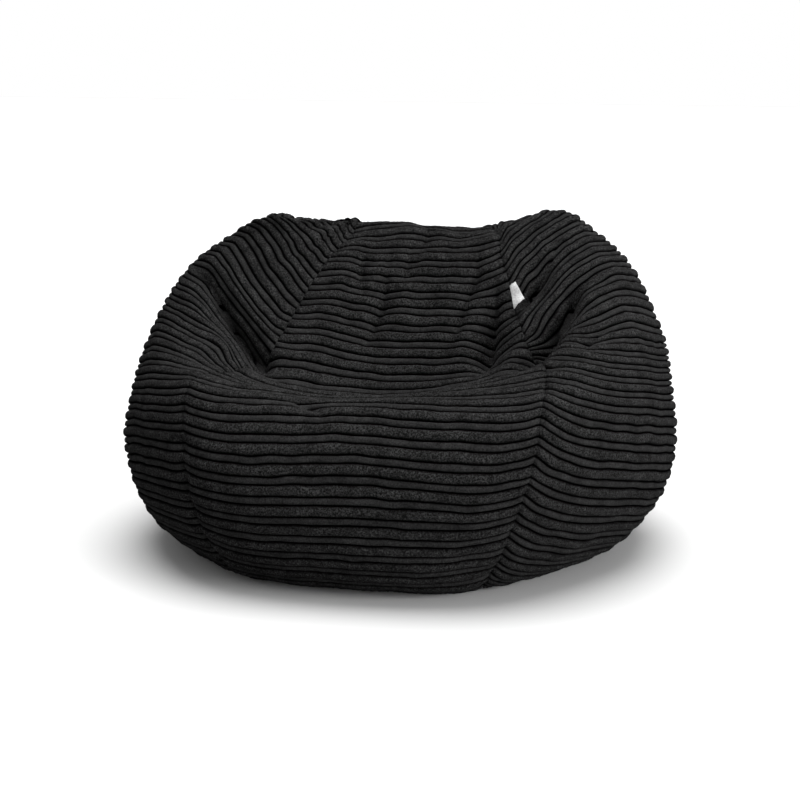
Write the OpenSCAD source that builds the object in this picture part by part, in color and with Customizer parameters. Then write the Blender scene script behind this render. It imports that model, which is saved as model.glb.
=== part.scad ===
// Bean bag chair: a round sack of five corded gores with a hollowed seat, a leaning backrest and two arms.
// Frame: +Z up, the front faces -Y, the origin is on the floor under the middle of the bag.
// Inside the cover is a zipped liner that holds the bead filling. Both zips lie across the round base.

/* [Bag] */
// Scale of the whole sewn shape across its width
bag_width = 860; // [800:10:900]
// Scale of the whole sewn shape from front to back
bag_depth = 820; // [780:10:860]
// Height of the arms' tops above the floor
bag_height = 508; // [480:4:540]
// Radius of the round base panel
base_r = 215; // [200:5:225]
// Radius of the small cap where the gores meet at the top
cap_r = 62; // [50:2:70]

/* [Cloth] */
// Thickness of the corduroy cover with its pile
cover_thick = 4; // [2:0.5:4]
// Thickness of the liner cloth
liner_thick = 1; // [0.5:0.1:1]
// Gap between cover, liner and filling
cloth_gap = 1.8; // [1.8:0.1:2.2]
// Lattice cells between two neighbouring ribs
cells = 4; // [3:1:4]
// Rows of lattice points from the base to the cap
rows = 26; // [20:1:28]

/* [Label] */
// Length of the blank woven label along its seam
label_length = 46; // [30:2:56]
// How far the label stands out of its seam
label_reach = 17; // [10:1:20]
// Thickness of the folded label
label_thick = 0.8; // [0.6:0.1:1]
// Place of the label along its seam, from base to cap
label_place = 0.72; // [0.66:0.01:0.8]

/* [Zips] */
// Length of the cover zip's coil
cover_zip_length = 380; // [320:10:390]
// Length of the liner zip's coil
liner_zip_length = 320; // [280:10:330]
// Distance of the liner zip behind the middle of the base
liner_zip_y = 90; // [80:5:100]
// Width of one zip tape
tape_width = 13; // [10:1:15]
// Radius of one coil
coil_r = 0.85; // [0.7:0.05:0.9]
// Length of a slider
slider_length = 11; // [9:1:13]
// Width of a slider
slider_width = 9; // [8:0.5:10]

/* [Hidden] */

cord_black = [0.06, 0.06, 0.065];
tape_black = [0.03, 0.03, 0.03];
coil_black = [0.05, 0.05, 0.05];
nickel = [0.72, 0.72, 0.74];
liner_white = [0.86, 0.86, 0.84];
bead_white = [0.95, 0.95, 0.95];
label_grey = [0.88, 0.88, 0.87];

// Six ribs describe one half of the sack at its design size of 860 x 820 x 508, from the base edge to the cap edge.
// Each rib starts on the base circle and ends on the cap circle, and its points are [x, y, z].
// The other half is the mirror image. Ribs 1, 3 and 5 are the sewn seams, the others are the gores' middles.
RIB_ANGLES = [0, 36, 72, 108, 144, 180];
FRONT_MIDDLE = [
    [0, -290, 1], [0, -350, 13], [0, -391, 58], [0, -408, 118], [0, -405, 180], [0, -385, 238], [0, -342, 282],
    [0, -284, 282], [0, -220, 262], [0, -165, 278], [0, -112, 330], [0, -55, 396], [0, 0, 450], [0, 62, 484],
    [0, 125, 482]
];
FRONT_SEAM = [
    [186, -272, 2], [226, -320, 40], [250, -350, 98], [262, -365, 160], [262, -362, 222], [254, -332, 284],
    [234, -278, 316], [212, -212, 312], [194, -140, 332], [172, -74, 394], [146, -14, 452], [128, 50, 492],
    [106, 112, 498]
];
SIDE_MIDDLE = [
    [292, -104, 2], [346, -121, 35], [387, -135, 92], [406, -142, 150], [407, -142, 212], [391, -124, 280],
    [352, -76, 356], [310, -32, 418], [266, 24, 468], [211, 84, 499], [156, 126, 505]
];
REAR_SEAM = [
    [312, 88, 2], [364, 106, 38], [401, 118, 98], [415, 124, 165], [407, 128, 240], [375, 138, 328],
    [312, 162, 412], [224, 196, 466], [146, 222, 478]
];
BACK_MIDDLE = [
    [186, 250, 2], [226, 300, 38], [254, 336, 98], [263, 350, 170], [254, 344, 245], [226, 330, 320],
    [176, 312, 384], [112, 300, 428]
];
BACK_SEAM = [
    [0, 308, 2], [0, 364, 36], [0, 399, 98], [0, 409, 168], [0, 401, 240], [0, 378, 308], [0, 345, 366],
    [0, 306, 412]
];
HALF_RIBS = [FRONT_MIDDLE, FRONT_SEAM, SIDE_MIDDLE, REAR_SEAM, BACK_MIDDLE, BACK_SEAM];

size_scale = [bag_width / 860, bag_depth / 820, bag_height / 508];
cap_centre = [0, 222, 462];
cap_tilt = 24;
spline_steps = 5;
gores = 5;
ribs_round = 2 * gores;
columns = ribs_round * cells;

liner_outer = cover_thick + cloth_gap;
liner_inner = liner_outer + liner_thick;
filling_outer = liner_inner + cloth_gap;
filling_recess_r = base_r - 18;
filling_recess_z = filling_outer + 3;

panel_gap = 0.3;
base_panel_r = base_r - 1.8;
zip_slot = 8;
tape_thick = 0.6;
tape_edge = 0.9;
coil_y = 1.1;
tape_overrun = 8;
stop_length = 3;
stop_gap = 0.1;
plate_thick = 0.6;
plate_clear = 0.2;
post_length = 2;
post_width = 0.4;
garage_length = 34;
garage_width = 2 * (zip_slot - panel_gap);
garage_lift = 0.1;
garage_thick = 0.5;

// ---- The sewn surface ----

// Point at t between b and c on the smooth curve through a, b, c and d
function smooth_point(a, b, c, d, t) =
    0.5 * (2 * b + (c - a) * t + (2 * a - 5 * b + 4 * c - d) * t * t + (3 * b - a - 3 * c + d) * t * t * t);

function base_point(angle) = [base_r * sin(angle), -base_r * cos(angle), 0];

function cap_point(angle, radius) =
    cap_centre + radius * [sin(angle), -cos(angle) * cos(cap_tilt), cos(angle) * sin(cap_tilt)];

function scaled(p) = [p.x * size_scale.x, p.y * size_scale.y, p.z * size_scale.z];

// A rib's whole list of points, with the ends on the base circle and on the cap circle
function rib_points(i) = concat(
    [base_point(RIB_ANGLES[i])],
    [for (p = HALF_RIBS[i]) scaled(p)],
    [scaled(cap_point(RIB_ANGLES[i], cap_r))]
);

// The rib as a smooth curve, with spline_steps pieces between two of its points
function dense_rib(p, last = 0) =
    let (n = len(p) - 1)
    concat(
        [for (i = [0:n - 1], k = [0:spline_steps - 1])
            smooth_point(p[max(i - 1, 0)], p[i], p[i + 1], p[min(i + 2, n)], k / spline_steps)],
        [p[n]]
    );

// Distance along a list of points up to each of them
function run_lengths(q) = [
    for (i = 0, s = 0; i < len(q); s = s + (i + 1 < len(q) ? norm(q[i + 1] - q[i]) : 0), i = i + 1) s
];

function coordinate_at(s, runs, q, axis) = lookup(s, [for (i = [0:len(q) - 1]) [runs[i], q[i][axis]]]);

// The rib cut into equal steps, one point for each row
function even_rib(i) =
    let (q = dense_rib(rib_points(i)), runs = run_lengths(q), whole = runs[len(q) - 1])
    [for (j = [0:rows - 1])
        let (s = whole * j / (rows - 1))
        [coordinate_at(s, runs, q, 0), coordinate_at(s, runs, q, 1), coordinate_at(s, runs, q, 2)]];

half_lattice = [for (i = [0:gores]) even_rib(i)];

function mirrored(rib) = [for (p = rib) [-p.x, p.y, p.z]];

// Ribs all the way round, from the front middle over the right side, the back and the left side
round_ribs = [for (i = [0:ribs_round - 1]) i <= gores ? half_lattice[i] : mirrored(half_lattice[ribs_round - i])];

function turned(i, n) = (i + n) % n;

function lattice_column(c) =
    let (i = floor(c / cells), t = (c % cells) / cells)
    [for (j = [0:rows - 1])
        let (p = smooth_point(
            round_ribs[turned(i - 1, ribs_round)][j], round_ribs[i][j],
            round_ribs[turned(i + 1, ribs_round)][j], round_ribs[turned(i + 2, ribs_round)][j], t))
        [p.x, p.y, max(p.z, 0)]];

lattice = [for (c = [0:columns - 1]) lattice_column(c)];

function unit(v) = v / norm(v);

// Inward direction at a lattice point
function inward(c, j) =
    j == 0 ? [0, 0, 1] :
    unit(cross(
        lattice[c][min(j + 1, rows - 1)] - lattice[c][j - 1],
        lattice[turned(c + 1, columns)][j] - lattice[turned(c - 1, columns)][j]));

inwards = [for (c = [0:columns - 1]) [for (j = [0:rows - 1]) inward(c, j)]];

function layer_point(c, j, depth) = lattice[c][j] + depth * inwards[c][j];

// ---- Solids made on the surface ----

// A cloth panel between two depths, from column first to column last
module cloth_panel(first, last, outer, inner) {
    wide = last - first + 1;
    side = wide * rows;
    points = concat(
        [for (c = [first:last], j = [0:rows - 1]) layer_point(turned(c, columns), j, outer)],
        [for (c = [first:last], j = [0:rows - 1]) layer_point(turned(c, columns), j, inner)]
    );
    function at(c, j, layer) = layer * side + c * rows + j;
    outside = [for (c = [0:wide - 2], j = [0:rows - 2], half = [0, 1]) half == 0
        ? [at(c, j, 0), at(c, j + 1, 0), at(c + 1, j + 1, 0)]
        : [at(c, j, 0), at(c + 1, j + 1, 0), at(c + 1, j, 0)]];
    inside = [for (f = outside) [f[2] + side, f[1] + side, f[0] + side]];
    seams = [for (j = [0:rows - 2], end = [0, wide - 1], half = [0, 1])
        let (a = at(end, j, 0), b = at(end, j + 1, 0), p = at(end, j, 1), q = at(end, j + 1, 1),
            f = half == 0 ? [a, p, q] : [a, q, b])
        end == 0 ? f : [f[2], f[1], f[0]]];
    hems = [for (c = [0:wide - 2], end = [0, rows - 1], half = [0, 1])
        let (a = at(c, end, 0), b = at(c + 1, end, 0), p = at(c, end, 1), q = at(c + 1, end, 1),
            f = half == 0 ? [a, b, q] : [a, q, p])
        end == 0 ? f : [f[2], f[1], f[0]]];
    polyhedron(points, concat(outside, inside, seams, hems), convexity = 6);
}

// Gore g, counted from the front towards the right arm, reaches from seam to seam
module gore(g, outer, inner) cloth_panel((2 * g - 1) * cells, (2 * g + 1) * cells, outer, inner);

// The cap where the gores meet, a shallow disc that lies just inside their top edges
module top_cap(outer, inner) {
    edge = [for (c = [0:columns - 1]) c];
    middle = scaled(cap_centre);
    up = unit([0, sin(cap_tilt), cos(cap_tilt)]);
    shrink = (cap_r - panel_gap) / cap_r;
    points = concat(
        [for (c = edge) middle + (layer_point(c, rows - 1, outer) - middle) * shrink],
        [for (c = edge) middle + (layer_point(c, rows - 1, inner) - middle) * shrink],
        [middle + (4 - outer) * up, middle + (4 - inner) * up]
    );
    high = 2 * columns;
    polyhedron(points, [for (c = edge, kind = [0:3])
        let (n = turned(c + 1, columns))
        kind == 0 ? [high, n, c] :
        kind == 1 ? [high + 1, columns + c, columns + n] :
        kind == 2 ? [c, n, columns + c] : [n, columns + n, columns + c]], convexity = 4);
}

// Half of a round base panel, split where its zip is sewn in
module base_half(radius, split_y, back, outer, inner) {
    translate([0, 0, outer])
    linear_extrude(inner - outer)
    intersection() {
        circle(radius, $fn = 160);
        translate([-radius, back ? split_y + zip_slot : split_y - zip_slot - 2 * radius])
        square(2 * radius);
    }
}

// ---- Zips: each lies along X, its tape's lower face is at z = 0, back is 1 behind the slit and -1 before it ----

module zip_tape(length, back) {
    translate([-length / 2 - tape_overrun, back > 0 ? tape_edge : -tape_edge - tape_width, 0])
    cube([length + 2 * tape_overrun, tape_width, tape_thick]);
}

module zip_coil(length, back) {
    translate([-length / 2, back * coil_y, -coil_r])
    rotate([0, 90, 0])
    cylinder(h = length, r = coil_r, $fn = 24);
}

module zip_stops(length) {
    stop_width = 2 * coil_r;
    for (back = [-1, 1])
        translate([length / 2 + stop_gap, back * coil_y - stop_width / 2, -stop_width])
        cube([stop_length, stop_width, stop_width]);
    translate([-length / 2 - stop_gap - stop_length, -coil_y - coil_r, -stop_width])
    cube([stop_length, 2 * (coil_y + coil_r), stop_width]);
}

// The slider has an outer plate with turned-up edges, an inner plate, and a thin post between the coils
module zip_slider(length) {
    outer_z = -2 * coil_r - plate_clear;
    inner_z = tape_thick + plate_clear;
    edge = 0.5;
    translate([length / 2 - slider_length, 0, 0]) {
        translate([0, -slider_width / 2, outer_z - plate_thick])
        cube([slider_length, slider_width, plate_thick]);
        translate([0, -slider_width / 2, inner_z])
        cube([slider_length, slider_width, plate_thick]);
        translate([slider_length - post_length - 1, -post_width / 2, outer_z])
        cube([post_length, post_width, inner_z - outer_z]);
        for (side = [-1, 1])
            translate([0, side * (slider_width / 2 - edge / 2) - edge / 2, outer_z])
            cube([slider_length, edge, 2 * coil_r - plate_clear]);
    }
}

module on_cover_zip() translate([0, 0, cover_thick]) children();
module on_liner_zip() translate([0, liner_zip_y, liner_inner]) children();

// ---- Sub-parts: cover ----

module cover_gore(g) color(cord_black) gore(g, 0, cover_thick);
module cover_front_gore() cover_gore(0);
module cover_right_gore() cover_gore(1);
module cover_back_right_gore() cover_gore(2);
module cover_back_left_gore() cover_gore(3);
module cover_left_gore() cover_gore(4);
module cover_top_cap() color(cord_black) top_cap(0, cover_thick);

module cover_base_front() color(cord_black) base_half(base_panel_r, 0, false, 0, cover_thick);
module cover_base_back() color(cord_black) base_half(base_panel_r, 0, true, 0, cover_thick);

// A blank woven label, folded once and sewn into the right front seam on the backrest
module seam_label() {
    seam = cells;
    j = round(label_place * (rows - 1));
    foot = lattice[seam][j];
    along = unit(lattice[seam][j - 1] - lattice[seam][j + 1]);
    out = -inwards[seam][j];
    side = cross(along, out);
    lift = 0.6;
    points = [for (s = [-0.5, 0.5], o = [0, 1], t = [-0.5, 0.5])
        foot + s * label_length * along + (lift + o * label_reach) * out + t * label_thick * side];
    color(label_grey)
    polyhedron(points, [[0, 2, 3, 1], [4, 5, 7, 6], [0, 1, 5, 4], [2, 6, 7, 3], [0, 4, 6, 2], [1, 3, 7, 5]]);
}

module cover_zip_tape_front() color(tape_black) on_cover_zip() zip_tape(cover_zip_length, -1);
module cover_zip_tape_back() color(tape_black) on_cover_zip() zip_tape(cover_zip_length, 1);
module cover_zip_coil_front() color(coil_black) on_cover_zip() zip_coil(cover_zip_length, -1);
module cover_zip_coil_back() color(coil_black) on_cover_zip() zip_coil(cover_zip_length, 1);
module cover_zip_slider() color(nickel) on_cover_zip() zip_slider(cover_zip_length);
module cover_zip_stops() color(nickel) on_cover_zip() zip_stops(cover_zip_length);

// A strip of cloth across the slit, which hides the parked slider
module zip_garage() {
    color(cord_black)
    translate([cover_zip_length / 2 - garage_length + tape_overrun, -garage_width / 2, garage_lift])
    cube([garage_length, garage_width, garage_thick]);
}

// ---- Sub-parts: liner ----

module liner_gore(g) color(liner_white) gore(g, liner_outer, liner_inner);
module liner_front_gore() liner_gore(0);
module liner_right_gore() liner_gore(1);
module liner_back_right_gore() liner_gore(2);
module liner_back_left_gore() liner_gore(3);
module liner_left_gore() liner_gore(4);
module liner_top_cap() color(liner_white) top_cap(liner_outer, liner_inner);

module liner_base_front() color(liner_white) base_half(base_panel_r, liner_zip_y, false, liner_outer, liner_inner);
module liner_base_back() color(liner_white) base_half(base_panel_r, liner_zip_y, true, liner_outer, liner_inner);

module liner_zip_tape_front() color(liner_white) on_liner_zip() zip_tape(liner_zip_length, -1);
module liner_zip_tape_back() color(liner_white) on_liner_zip() zip_tape(liner_zip_length, 1);
module liner_zip_coil_front() color(liner_white) on_liner_zip() zip_coil(liner_zip_length, -1);
module liner_zip_coil_back() color(liner_white) on_liner_zip() zip_coil(liner_zip_length, 1);
module liner_zip_slider() color(nickel) on_liner_zip() zip_slider(liner_zip_length);
module liner_zip_stops() color(nickel) on_liner_zip() zip_stops(liner_zip_length);

// ---- Sub-part: filling ----

// The bead filling as one closed body inside the liner, hollowed a little over the base for the liner's zip
module bead_filling() {
    top = scaled(cap_centre) + [0, 0, 4 - filling_outer];
    points = concat(
        [for (c = [0:columns - 1], j = [0:rows - 1]) layer_point(c, j, filling_outer)],
        [for (c = [0:columns - 1]) [
            filling_recess_r * sin(360 * c / columns), -filling_recess_r * cos(360 * c / columns), filling_recess_z]],
        [[0, 0, filling_recess_z], top]
    );
    ring = columns * rows;
    low = ring + columns;
    skin = [for (c = [0:columns - 1], j = [0:rows - 2], half = [0, 1])
        let (n = turned(c + 1, columns))
        half == 0 ? [c * rows + j, c * rows + j + 1, n * rows + j + 1] : [c * rows + j, n * rows + j + 1, n * rows + j]];
    ends = [for (c = [0:columns - 1], kind = [0:3])
        let (n = turned(c + 1, columns))
        kind == 0 ? [c * rows, n * rows, ring + n] :
        kind == 1 ? [c * rows, ring + n, ring + c] :
        kind == 2 ? [ring + c, ring + n, low] :
        [c * rows + rows - 1, low + 1, n * rows + rows - 1]];
    color(bead_white) polyhedron(points, concat(skin, ends), convexity = 8);
}

cover_front_gore();
cover_right_gore();
cover_back_right_gore();
cover_back_left_gore();
cover_left_gore();
cover_top_cap();
cover_base_front();
cover_base_back();
seam_label();
cover_zip_tape_front();
cover_zip_tape_back();
cover_zip_coil_front();
cover_zip_coil_back();
cover_zip_slider();
cover_zip_stops();
zip_garage();
liner_front_gore();
liner_right_gore();
liner_back_right_gore();
liner_back_left_gore();
liner_left_gore();
liner_top_cap();
liner_base_front();
liner_base_back();
liner_zip_tape_front();
liner_zip_tape_back();
liner_zip_coil_front();
liner_zip_coil_back();
liner_zip_slider();
liner_zip_stops();
bead_filling();
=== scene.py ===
import math

import bpy
import numpy as np
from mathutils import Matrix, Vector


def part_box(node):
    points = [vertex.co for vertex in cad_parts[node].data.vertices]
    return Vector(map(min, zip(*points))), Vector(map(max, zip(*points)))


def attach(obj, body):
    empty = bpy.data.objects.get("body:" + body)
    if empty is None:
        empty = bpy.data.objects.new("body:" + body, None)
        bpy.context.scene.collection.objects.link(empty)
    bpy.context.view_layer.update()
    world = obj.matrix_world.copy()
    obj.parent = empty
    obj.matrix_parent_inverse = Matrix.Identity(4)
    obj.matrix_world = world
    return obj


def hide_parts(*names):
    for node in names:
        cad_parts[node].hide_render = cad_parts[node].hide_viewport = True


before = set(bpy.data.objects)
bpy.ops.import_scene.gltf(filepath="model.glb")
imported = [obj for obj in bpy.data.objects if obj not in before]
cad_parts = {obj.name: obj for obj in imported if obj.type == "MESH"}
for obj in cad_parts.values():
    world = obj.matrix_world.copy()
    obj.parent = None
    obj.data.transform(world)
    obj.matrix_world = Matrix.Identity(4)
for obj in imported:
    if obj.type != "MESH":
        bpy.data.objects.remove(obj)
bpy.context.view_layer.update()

# A bean bag chair in jumbo corduroy. Shapes are worked out in millimetres, and MM turns them into metres.
MM = 0.001

# ---------------------------------------------------------------- The sewn shape
# Ten ribs run from the base panel to the cap. Odd ribs are seams, and even ribs are the middles of gores.
# "ring" is the place round the sack: 0 is the front middle, 1 the right front seam, and so on to 10.
# "run" is the share of a rib's length: 0 is at the base and 1 at the cap.
# The base is a circle on the floor. The cap is a small circle that leans back by CAP_TILT degrees.
BASE_R = 215
CAP_R = 52
CAP_CENTRE = (-25, 150, 450)
CAP_TILT = 12
# Each rib: its angle on the base circle, its angle on the cap circle, and the points between, (x, y, z).
RIBS_BY_HAND = [
    (0, 0, [(0, -290, 1), (0, -350, 13), (0, -391, 58), (0, -408, 118), (0, -405, 180), (0, -385, 238),
            (0, -342, 280), (0, -284, 282), (0, -220, 264), (0, -165, 278), (4, -112, 330), (14, -55, 396),
            (24, 0, 452), (28, 58, 489)]),
    (36, 44, [(166, -282, 2), (188, -330, 38), (216, -358, 98), (238, -369, 160), (253, -363, 222),
              (258, -331, 284), (256, -278, 316), (248, -220, 326), (232, -174, 326), (214, -134, 338),
              (196, -100, 366), (174, -50, 418), (156, -12, 456), (146, 30, 484), (118, 84, 484)]),
    (72, 72, [(294, -104, 2), (352, -122, 35), (392, -136, 92), (408, -142, 150), (408, -142, 212),
              (398, -126, 282), (370, -80, 358), (328, -32, 420), (276, 22, 473), (222, 66, 505),
              (150, 108, 490)]),
    (108, 96, [(314, 88, 2), (368, 108, 38), (404, 118, 98), (415, 124, 165), (409, 128, 242),
               (388, 142, 330), (344, 146, 414), (290, 116, 470), (234, 116, 502), (148, 136, 476)]),
    (144, 135, [(186, 250, 2), (226, 300, 38), (254, 336, 98), (263, 350, 170), (254, 344, 245),
                (232, 322, 320), (200, 276, 390), (132, 222, 434)]),
    (180, 180, [(0, 308, 2), (0, 364, 36), (0, 399, 98), (0, 409, 168), (0, 401, 240), (0, 378, 308),
                (-8, 332, 362), (-18, 272, 408)]),
    (216, 225, [(-186, 250, 2), (-226, 300, 38), (-254, 336, 98), (-263, 350, 170), (-254, 344, 245),
                (-234, 322, 320), (-206, 262, 392), (-166, 196, 446), (-112, 158, 462)]),
    (252, 268, [(-314, 88, 2), (-370, 108, 38), (-404, 118, 98), (-415, 124, 165), (-409, 128, 242),
                (-388, 140, 330), (-338, 124, 412), (-270, 74, 464), (-214, 34, 502), (-164, 20, 500),
                (-126, 50, 492), (-102, 94, 480)]),
    (288, 290, [(-296, -106, 2), (-360, -125, 35), (-398, -138, 92), (-410, -142, 150), (-408, -142, 212),
                (-394, -124, 280), (-364, -78, 358), (-318, -36, 412), (-266, -8, 454), (-212, -8, 478),
                (-160, -12, 480), (-116, 16, 486), (-92, 66, 490)]),
    (324, 312, [(-178, -280, 2), (-216, -326, 40), (-238, -355, 98), (-250, -367, 160), (-256, -361, 222),
                (-260, -332, 282), (-252, -288, 306), (-226, -232, 302), (-196, -184, 300),
                (-174, -152, 320), (-150, -96, 372), (-128, -50, 416), (-104, -12, 454), (-88, 28, 472),
                (-80, 68, 490)]),
]
RIBS = len(RIBS_BY_HAND)
# The surface is a grid of columns round the sack, with this many steps up each.
RUN_STEPS = 800
COLUMNS_PER_RIB = 55
COLUMNS = RIBS * COLUMNS_PER_RIB
# Nothing is nearer to the floor than this.
FLOOR_GAP = 0.2

# The gores: the name of each, and the ring at its middle.
GORES = {"front": 0, "right": 2, "back_right": 4, "back_left": 6, "left": 8}

# ---------------------------------------------------------------- The corduroy
# One cord is a wide wale and a narrow wale side by side, and WIDE is the wide one's share of it. The pile
# stands this high above the grooves, and CLOTH is the thickness of its backing.
CORD = 29.5
WIDE = 0.6
WIDE_HIGH = 6.8
NARROW_HIGH = 5.2
CLOTH = 1.4
# The profile of a wale: a higher WALE_FLAT gives a flatter top, and a lower WALE_STEEP gives steeper sides.
WALE_FLAT = 2.6
WALE_STEEP = 0.55
# The width that a gore is given in its UV map, in mm
GORE_WIDTH = 500
# Where the rows of the mesh cross a wide and a narrow wale, as shares of its width, close at the grooves
WIDE_ROWS = (0, 0.02, 0.07, 0.15, 0.28, 0.42, 0.58, 0.72, 0.85, 0.93, 0.98)
NARROW_ROWS = (0, 0.03, 0.1, 0.22, 0.4, 0.6, 0.78, 0.9, 0.97)
# How many cords the wales of a gore are ahead of the plain count from the base: first the places across
# the gore, from 0 at its front seam (the left one for the front gore) to 1, and then rows of a run and its
# cords at each of the places. The extra cords of the side gores start in the corner folds.
CORD_SHIFTS = {
    "front": ((0, 0.15, 0.3, 0.5, 0.7, 0.85, 1), [
        (0, (0, 0.12, 0.18, 0.2, 0.18, 0.12, 0)),
        (0.15, (0, 0.27, 0.4, 0.45, 0.4, 0.27, 0)),
        (0.4, (0, 0.27, 0.4, 0.45, 0.4, 0.27, 0)),
        (0.5, (0, 0.12, 0.18, 0.2, 0.18, 0.12, 0)),
        (0.58, (0, 0, 0, 0, 0, 0, 0)),
        (0.64, (-0.2, -0.7, -0.4, 0, 0, 0, 0)),
        (0.8, (-0.2, -0.65, -0.3, 0, 0, 0, 0)),
        (0.87, (-0.1, -0.3, -0.1, 0, 0, 0, 0)),
        (1, (0, 0, 0, 0, 0, 0, 0))]),
    "right": ((0, 0.1, 0.22, 0.5, 0.75, 1), [
        (0, (0, 1.2, 2.1, 3.4, 4.3, 5)),
        (0.2, (0, 1, 1.9, 3.3, 4.2, 5)),
        (0.3, (0, 0.9, 1.8, 3.3, 4.3, 5.2)),
        (0.4, (0, 1, 1.9, 3.5, 4.6, 5.6)),
        (0.5, (0, 0.8, 2.2, 4.6, 6, 6.8)),
        (0.57, (0, 0.7, 2.5, 4.6, 6, 6.8)),
        (0.6, (2, 1.8, 2.8, 4.6, 6, 6.8)),
        (0.63, (4, 3.2, 3, 4.7, 6, 6.8)),
        (0.67, (4, 3.4, 3.4, 5, 6.2, 6.8)),
        (0.74, (4, 3.5, 3.8, 5.6, 6.5, 7)),
        (1, (4, 3.6, 4, 5.6, 6.5, 7))]),
    "left": ((0, 0.15, 0.3, 0.55, 0.75, 1), [
        (0, (0, 0.1, 0.5, 1.3, 1.9, 2.6)),
        (0.2, (0, 0.1, 0.5, 1.3, 1.9, 2.6)),
        (0.3, (0, 0.2, 0.8, 2, 2.8, 3.6)),
        (0.38, (0, 0.3, 0.9, 2.3, 3.2, 4)),
        (0.46, (0, 0.6, 1.5, 3.2, 4.2, 5)),
        (0.54, (0, 0.4, 1.6, 3.5, 4.5, 5.4)),
        (0.58, (1.2, 0.5, 1.9, 4.1, 5, 5.6)),
        (0.61, (2.4, 0.8, 2.3, 4.3, 5.2, 5.8)),
        (0.635, (3, 2.3, 3.1, 4.3, 5.2, 5.8)),
        (0.67, (3, 3.05, 3.65, 4.5, 5.2, 5.8)),
        (0.78, (3, 3.05, 3.75, 4.6, 4.8, 5.2)),
        (1, (3, 3.05, 3.7, 4.5, 4.8, 5.2))]),
}
# The back gores have this many cords from the base to the cap.
BACK_CORDS = 27
# By how many cords the wales rise beside a seam, and how far from it in mm
SEAM_RISE = 0.1
SEAM_RISE_REACH = 20
# How far the wales wander, in cords, over a grid of random values round the sack and up it
WANDER = 0.05
WANDER_CELLS = (90, 40)
# How much the height of the pile varies, as a share of it
PILE_UNEVEN = 0.09
# What is left of the pile's height where it is pressed against the floor, and how far up a gore that reaches
HEM_CRUSH = 0.42
HEM_CRUSH_REACH = 90

# ---------------------------------------------------------------- The other pieces
# The cap rises by CAP_DOME and laps over the ends of the gores by CAP_LAP.
CAP_DOME = 9
CAP_LAP = 5
CAP_FIRST_CORD = 10.3
# The base laps past the hem of the gores, and both are drawn up a little at the seam between them.
BASE_LAP = 0.6
BASE_PINCH = 2
BASE_EDGE_LIFT = 0.4
BASE_EDGE_REACH = 3
BASE_FIRST_CORD = 20
BASE_WANDER = 0.04
BASE_WANDER_LENGTH = 37
# Beyond the ends of the zip the two halves of the base meet: from this far out, over this distance, and by
# moving the cloth this far back from the folded edge.
BASE_SHUT_FROM = 191
BASE_SHUT_REACH = 7
BASE_SHUT_DEEP = 30
# The label's corners: the low and high ends of its edge in the seam, and then the high and low ends of its
# free edge
LABEL_CORNERS = [(187, -87, 382), (177, -59, 412), (185, -56, 419), (202, -77, 396)]
LABEL_THICK = 0.8
LABEL_CURL = 3.2
LABEL_RIPPLE = 1.2
LABEL_FRAY = 0.8
# A zip coil: the distance between its teeth, the radius of its wire, and the points in one turn
COIL_PITCH = 1.4
COIL_WIRE = 0.27
COIL_STEPS = 9
# How far the wavy surface of a tape or of the zip garage is kept inside its box
WEAVE_GAP = 0.07
GARAGE_GAP = 0.08
# Lockstitches: the length of one, its thread's radius, how far it arches, and what share of its length shows
STITCH_PITCH = 3.2
STITCH_THREAD = 0.28
STITCH_ARCH = 0.25
STITCH_START = 0.12
STITCH_SHOWN = 0.76
STITCH_ROWS = (0.28, 0.42)
STITCH_HIGH = 0.55
STITCH_LENGTH = 380
METAL_BEVEL = 0.15
# The liner is this far inside the cover and this far above the floor. Its base is this much smaller.
LINER_INSET = 9
LINER_BASE = 5.8
LINER_EASE = 1.8
LINER_THICK = 0.8
LINER_RIPPLE = 0.12
# The beads are this far inside the cover and above the floor, with lumps up to this deep.
FILL_INSET = 11
FILL_BASE = 8.6
BEAD_LUMP = 1.3
# The liner and the beads settle below the cap, away from the gathered cloth. Each goes this share of the way
# to SETTLE_TO at the cap, and less lower down, from the run where it starts.
SETTLE = 0.42
SETTLE_FROM = 0.8
SETTLE_TO = (-25, 120, 390)
CAP_SETTLE = 26

# ---------------------------------------------------------------- Folds
# Each fold: its path as (ring, run), its depth along the path in mm, and its half width in mm.
FOLDS = [
    # The corners of the seat beside the left and the right arm
    ([(-2.3, 0.61), (-1.98, 0.63), (-1.74, 0.638), (-1.48, 0.638), (-1.26, 0.638), (-1.04, 0.63),
      (-0.86, 0.615)], (6, 14, 26, 38, 44, 36, 8), 13),
    ([(1.96, 0.63), (1.64, 0.65), (1.42, 0.635), (1.2, 0.62), (1, 0.585), (0.86, 0.56)],
     (6, 20, 36, 44, 38, 8), 13),
    # The valley across the right wing, and the dip in the backrest beside it
    ([(1.68, 0.733), (1.34, 0.71), (1.12, 0.698), (0.95, 0.69)], (4, 20, 24, 8), 16),
    ([(0.86, 0.733), (0.76, 0.672), (0.70, 0.635), (0.64, 0.605)], (10, 34, 34, 8), 15),
    # Wrinkles of the backrest, from left to right
    ([(-0.64, 0.87), (-0.54, 0.83), (-0.44, 0.79)], (3, 12, 3), 12),
    ([(-0.32, 0.86), (-0.2, 0.775), (-0.2, 0.725), (-0.24, 0.68)], (4, 13, 11, 3), 12),
    ([(-0.12, 0.88), (-0.05, 0.82)], (3, 9), 11),
    ([(0.02, 0.925), (0.06, 0.885)], (3, 7), 11),
    ([(0.72, 0.815), (0.7, 0.775), (0.62, 0.75), (0.52, 0.7), (0.48, 0.67)], (3, 11, 11, 11, 3), 12),
    # A pucker on the lip, and one on the right arm
    ([(-0.36, 0.462), (-0.27, 0.443), (-0.18, 0.425)], (2, 9, 2), 9),
    ([(1.4, 0.55), (1.62, 0.553)], (12, 3), 12),
]
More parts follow.
